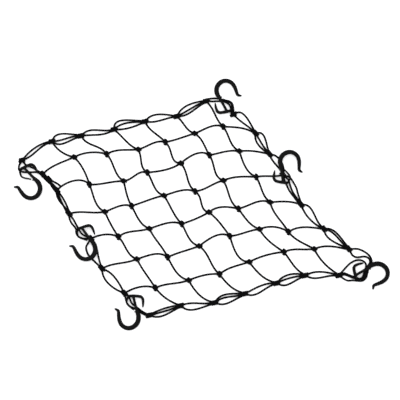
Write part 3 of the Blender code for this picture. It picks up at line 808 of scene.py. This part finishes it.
@dataclass
class Net:
    """The mesh cords and the edge cord, with every knot tied."""

    layout: Layout
    hooks: Hooks
    radius: float = 1.72
    sides: int = 10
    spacing: float = 1.9            # between the rings of a strand
    least_steps: int = 6            # between the rings of a short strand
    turn_steps: int = 14            # rings in one turn round a knot
    turn_roundness: float = 2.3     # power of a turn's outline: 2 is an ellipse
    edge_winding: Winding = Winding(4.0, 3.1, 1.6, 3.15, 2.8)
    crossing_winding: Winding = Winding(3.0, 3.1, 1.5, 3.05, 2.75)
    crossing_reach: float = 4.8     # from a crossing's middle to where its strands leave
    edge_reach: float = 5.9
    fall: float = 15.0              # how far from a knot a strand comes down to the floor
    port_drop: float = 0.12         # downward slope of a strand as it leaves a knot
    tail_share: float = 0.8         # of a strand's distance aside that it keeps inside a knot
    tail_aside: float = 1.4         # most that it keeps
    tail_rise: float = 0.4          # of its end above the knot's middle
    steepest: float = 50.0          # most that a strand turns at a knot, in degrees
    steepest_at_edge: float = 45.0
    least_apart: float = 0.7        # of the radius, half the way between two strands' ends
    spread_rounds: int = 40
    joining_share: float = 0.36     # of the way from the second knot of the left edge to its third
    joining_aside: float = 2.2      # inward from the straight way
    joining_tail: tuple[tuple[float, float], ...] = ((8.0, -3.8), (16.0, -8.2), (22.0, -13.0))
    bm: bmesh.types.BMesh = field(default_factory=bmesh.new)

    def reach(self, strand: Strand, end: int) -> float:
        """Distance from a knot's middle to where a strand leaves it."""
        return self.edge_reach if self.layout.on_edge(strand.ends[end]) else self.crossing_reach

    def port(self, strand: Strand, end: int) -> Vector:
        """Where a strand leaves a knot, a little below the knot's middle."""
        way = plan_way(strand.angles[end]) + Vector((0.0, 0.0, -self.port_drop))
        return self.layout.knot_middle(strand.ends[end]) + way.normalized() * self.reach(strand, end)

    def mesh_strand(self, first: Place, second: Place, leave: float, come: float) -> Strand:
        """Make a strand of the mesh.

        Args:
            first: Knot that it leaves.
            second: Knot that it comes to.
            leave: Its turn to the left of the straight way as it leaves, in degrees.
            come: The same as it comes to the second knot.

        Returns:
            The strand.
        """
        way = plan_angle(self.layout.knot_middle(second) - self.layout.knot_middle(first))
        turns = []
        for place, turn in ((first, leave), (second, come)):
            most = self.steepest_at_edge if self.layout.on_edge(place) else self.steepest
            turns.append(math.radians(max(-most, min(most, turn))))
        return Strand((first, second), (way + turns[0], way + math.pi + turns[1]), Cord.MESH)

    def mesh_strands(self) -> list[Strand]:
        """Every strand of the runs across and down."""
        layout = self.layout
        strands = []
        for run in range(layout.meshes - 1):
            for step in range(layout.meshes):
                strands.append(self.mesh_strand(
                    (step, run + 1), (step + 1, run + 1),
                    layout.leave_across[run][step], layout.come_across[run][step]))
                strands.append(self.mesh_strand(
                    (run + 1, step), (run + 1, step + 1),
                    layout.leave_down[step][run], layout.come_down[step][run]))
        return strands

    def edge_strands(self) -> list[Strand]:
        """Every strand of the edge, plain ones first and then those that pass a hook."""
        layout = self.layout
        places = layout.edge_places()
        passed = {frozenset((item.first, item.second)) for item in PASSES}
        strands = []
        for index, first in enumerate(places):
            second = places[(index + 1) % len(places)]
            if frozenset((first, second)) in passed or layout.bare_corner in (first, second):
                continue
            way = plan_angle(layout.knot_middle(second) - layout.knot_middle(first))
            for leave, come in EDGE_TURNS[index]:
                strands.append(Strand((first, second), (way + math.radians(leave),
                                                        way + math.pi + math.radians(come)),
                                      Cord.EDGE))
        return strands + [self.pass_strand(item) for item in PASSES]

    def pass_strand(self, item: Pass) -> Strand:
        """Make a strand of the edge that goes under or through a hook.

        Args:
            item: The strand's knots and the points on its way.

        Returns:
            The strand.
        """
        matrix = self.hooks.matrix(item.hook)
        via = []
        for x, y, *heights in item.via:
            spot = matrix @ Vector((x, y, heights[0] if heights else 0.0))
            if not heights:
                spot.z = self.radius
            via.append(spot)
        ends = (self.layout.knot_middle(item.first), self.layout.knot_middle(item.second))
        ways = (plan_angle(via[0] - ends[0]), plan_angle(via[-1] - ends[1]))
        return Strand((item.first, item.second), ways, Cord.EDGE, tuple(via))

    def spread(self, strands: Iterable[Strand]) -> None:
        """Turn apart strands that leave a knot too close together.

        Args:
            strands: All strands. Their angles are changed.
        """
        knots: dict[Place, list[tuple[Strand, int]]] = {}
        for strand in strands:
            for end in (0, 1):
                knots.setdefault(strand.ends[end], []).append((strand, end))
        for leaving in knots.values():
            reach = self.reach(*leaving[0])
            least = 2.0 * math.atan(self.least_apart * self.radius / reach)
            for _ in range(self.spread_rounds):
                leaving.sort(key=lambda item: item[0].angles[item[1]] % (2.0 * math.pi))
                for index, (strand, end) in enumerate(leaving):
                    other, other_end = leaving[(index + 1) % len(leaving)]
                    gap = (other.angles[other_end] - strand.angles[end]) % (2.0 * math.pi)
                    if gap < least:
                        strand.angles[end] -= (least - gap) / 2.0
                        other.angles[other_end] += (least - gap) / 2.0

    def centre_line(self, strand: Strand) -> list[Vector]:
        """Middle line of a strand, from inside its first knot to inside its second.

        Args:
            strand: The strand.

        Returns:
            Its points, about one spacing apart.
        """
        start, end = self.port(strand, 0), self.port(strand, 1)
        if strand.via:
            line = smooth_line([start, *strand.via, end], self.spacing)
            for point in line[1:-1]:
                point.z = max(point.z, self.radius)
        else:
            span = (end - start).xy.length
            leave = plan_way(strand.ways[0]) * span
            arrive = plan_way(strand.ways[1]) * -span
            steps = max(self.least_steps, round(span / self.spacing))
            line = [start]
            for step in range(1, steps):
                t = step / steps
                place = ((2 * t**3 - 3 * t**2 + 1) * start + (3 * t**2 - 2 * t**3) * end
                         + (t**3 - 2 * t**2 + t) * leave + (t**3 - t**2) * arrive)
                place.z = self.radius + sum(
                    (port.z - self.radius) * self.falling((place - port).xy.length)
                    for port in (start, end))
                line.append(place)
            line.append(end)
        return [self.tail(strand, 0, line[0])] + line + [self.tail(strand, 1, line[-1])]

    def falling(self, distance: float) -> float:
        """Share of a knot's height that a strand still has, so far from where it leaves."""
        share = min(1.0, distance / self.fall)
        return 1.0 - share * share * (3.0 - 2.0 * share)

    def tail(self, strand: Strand, end: int, port: Vector) -> Vector:
        """Find where a strand ends inside a knot's turns.

        Args:
            strand: The strand.
            end: 0 for its first knot, 1 for its second.
            port: Where it comes out of that knot.

        Returns:
            The place.
        """
        middle = self.layout.knot_middle(strand.ends[end])
        if strand.cord is Cord.MESH:
            return middle
        ridge = plan_way(self.layout.ridge_angle(strand.ends[end]) + math.pi / 2.0)
        aside = (port - middle).dot(ridge) * self.tail_share
        aside = max(-self.tail_aside, min(self.tail_aside, aside))
        return middle + ridge * aside + Vector((0.0, 0.0, self.tail_rise))

    def tube(self, points: Sequence[Vector]) -> None:
        """Add a round cord, with its map: share around, millimetres along.

        Args:
            points: The cord's middle line.
        """
        frames = [self.first_frame(points)]
        way = (points[1] - points[0]).normalized()
        lengths = [0.0]
        for index in range(1, len(points)):
            last = min(index + 1, len(points) - 1)
            onward = (points[last] - points[index - 1]).normalized()
            turn = way.rotation_difference(onward).to_matrix()
            frames.append(turn @ frames[-1])
            lengths.append(lengths[-1] + (points[index] - points[index - 1]).length)
            way = onward

        def spot(angle: float, ring: int) -> Vector:
            return points[ring] + frames[ring] @ Vector(
                (math.cos(angle) * self.radius, math.sin(angle) * self.radius, 0.0))

        chart = self.bm.loops.layers.uv[BRAID_MAP]
        count = len(points) - 1
        for face in roll_up(self.bm, self.sides, count, spot):
            for loop in face.loops:
                along = loop[chart].uv
                loop[chart].uv = (along.x, lengths[round(along.y * count)])

    @staticmethod
    def first_frame(points: Sequence[Vector]) -> Matrix:
        """Axes of a cord's first ring: aside, up and along."""
        way = (points[1] - points[0]).normalized()
        aside = way.orthogonal().normalized()
        up = way.cross(aside)
        return Matrix((aside, up, way)).transposed()

    def wind(self, middle: Vector, ridge: float, winding: Winding) -> None:
        """Wind turns of cord round a knot, side by side along its ridge.

        Args:
            middle: The knot's middle.
            ridge: Direction of the ridge in plan, in radians.
            winding: The turns.
        """
        angle = ridge + math.pi / 2.0
        along = plan_way(angle)
        aside = plan_way(angle + math.pi / 2.0)
        base = Vector((middle.x, middle.y, winding.height))
        start = 0.0 if round(winding.turns) % 2 else math.pi
        points = []
        steps = round(winding.turns * self.turn_steps)
        for step in range(steps + 1):
            share = step / steps - 0.5
            turn = 2.0 * math.pi * winding.turns * share + start
            out = winding.half_length * rounded(math.sin(turn), self.turn_roundness)
            up = winding.half_height * rounded(math.cos(turn), self.turn_roundness)
            points.append(base - along * out + aside * winding.pitch * winding.turns * share
                          + Vector((0.0, 0.0, up)))
        self.tube(points)

    def knot(self, place: Place) -> None:
        """Tie the knot at a place."""
        winding = self.edge_winding if self.layout.on_edge(place) else self.crossing_winding
        self.wind(self.layout.knot_middle(place), self.layout.ridge_angle(place), winding)

    def joining_knot(self) -> None:
        """Tie the edge cord's two ends together on the left edge, with one tail left over."""
        upper, lower = self.layout.knot_middle((0, 1)), self.layout.knot_middle((0, 2))
        way = (lower - upper).normalized()
        inward = Vector((-way.y, way.x, 0.0))
        middle = upper.lerp(lower, self.joining_share) + inward * self.joining_aside
        self.wind(middle, plan_angle(way), self.edge_winding)
        tail = [middle] + [Vector((middle.x + x, middle.y + y, self.radius))
                           for x, y in self.joining_tail]
        self.tube(smooth_line(tail, self.spacing))

    def build(self, finish: BraidedCordFinish) -> bpy.types.Object:
        """Make the whole net of cord.

        Args:
            finish: What the cord is made of.

        Returns:
            The net, in place of the two cord nodes.
        """
        self.bm.loops.layers.uv.new(BRAID_MAP)
        strands = self.mesh_strands() + self.edge_strands()
        self.spread(strands)
        for strand in strands:
            self.tube(self.centre_line(strand))
        for place in sorted({place for strand in strands for place in strand.ends}):
            self.knot(place)
        self.joining_knot()
        close_tubes(self.bm)
        net = placed_object("cord_net", self.bm, finish.material())
        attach(net, "root")
        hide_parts("mesh_cord", "edge_cord")
        return net


# ---- studio ----

class Lamp(NamedTuple):
    """A square soft light that points at the net's middle: place and side in metres, watts."""

    name: str
    place: tuple[float, float, float]
    side: float
    power: float


@dataclass(frozen=True)
class Studio:
    """A white floor, soft light from above and a camera that looks down on the net."""

    target: tuple[float, float] = (-1.1, 5.2)       # on the floor, in millimetres
    distance: float = 2500.0
    elevation: float = math.radians(80.0)
    lens: float = 130.28
    farthest: float = 20.0          # that the camera sees, in metres
    floor_side: float = 6000.0
    lamps: tuple[Lamp, ...] = (
        Lamp("key", (-0.8, 0.9, 2.4), 2.2, 26.0),
        Lamp("fill", (1.3, -1.0, 2.2), 2.2, 14.0),
    )
    room_colour: str = "fbfcff"
    room_strength: float = 0.95

    def camera(self) -> None:
        """Put the camera in front of the net, level, looking down on it."""
        data = bpy.data.cameras.new("camera")
        data.lens = self.lens
        data.clip_end = self.farthest
        thing = bpy.data.objects.new("camera", data)
        out = self.distance * math.cos(self.elevation)
        thing.location = Vector((self.target[0], self.target[1] - out,
                                 self.distance * math.sin(self.elevation))) * MM
        thing.rotation_euler = (math.pi / 2.0 - self.elevation, 0.0, 0.0)
        bpy.context.collection.objects.link(thing)
        bpy.context.scene.camera = thing

    def floor(self, finish: LightTableFinish) -> None:
        """Lay the floor."""
        bm = bmesh.new()
        bmesh.ops.create_grid(bm, x_segments=1, y_segments=1, size=self.floor_side / 2.0)
        thing = placed_object("floor", bm, finish.material())

    def light(self, lamp: Lamp) -> None:
        """Hang a lamp.

        Args:
            lamp: The lamp.
        """
        data = bpy.data.lights.new(lamp.name, "AREA")
        data.size = lamp.side
        data.energy = lamp.power
        thing = bpy.data.objects.new(lamp.name, data)
        thing.location = lamp.place
        thing.rotation_euler = (-Vector(lamp.place)).to_track_quat("-Z", "Y").to_euler()
        bpy.context.collection.objects.link(thing)

    def build(self) -> None:
        """Set up floor, lights, room light and camera."""
        self.floor(LightTableFinish())
        for lamp in self.lamps:
            self.light(lamp)
        world = bpy.data.worlds.new("room")
        world.use_nodes = True
        room = world.node_tree.nodes["Background"]
        room.inputs["Color"].default_value = linear(self.room_colour)
        room.inputs["Strength"].default_value = self.room_strength
        scene = bpy.context.scene
        scene.world = world
        scene.view_settings.view_transform = "Standard"
        self.camera()


def main() -> None:
    """Build the studio, the hooks and the net, and report each piece."""
    logging.basicConfig(level=logging.INFO, format="%(name)s: %(message)s")
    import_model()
    Studio().build()
    layout = Layout()
    hooks = Hooks(layout)
    pieces = hooks.build(MouldedNylonFinish())
    pieces.append(Net(layout, hooks).build(BraidedCordFinish()))
    for piece in pieces:
        LOG.info("%s: %d faces", piece.name, len(piece.data.polygons))


if __name__ == "__main__":
    main()
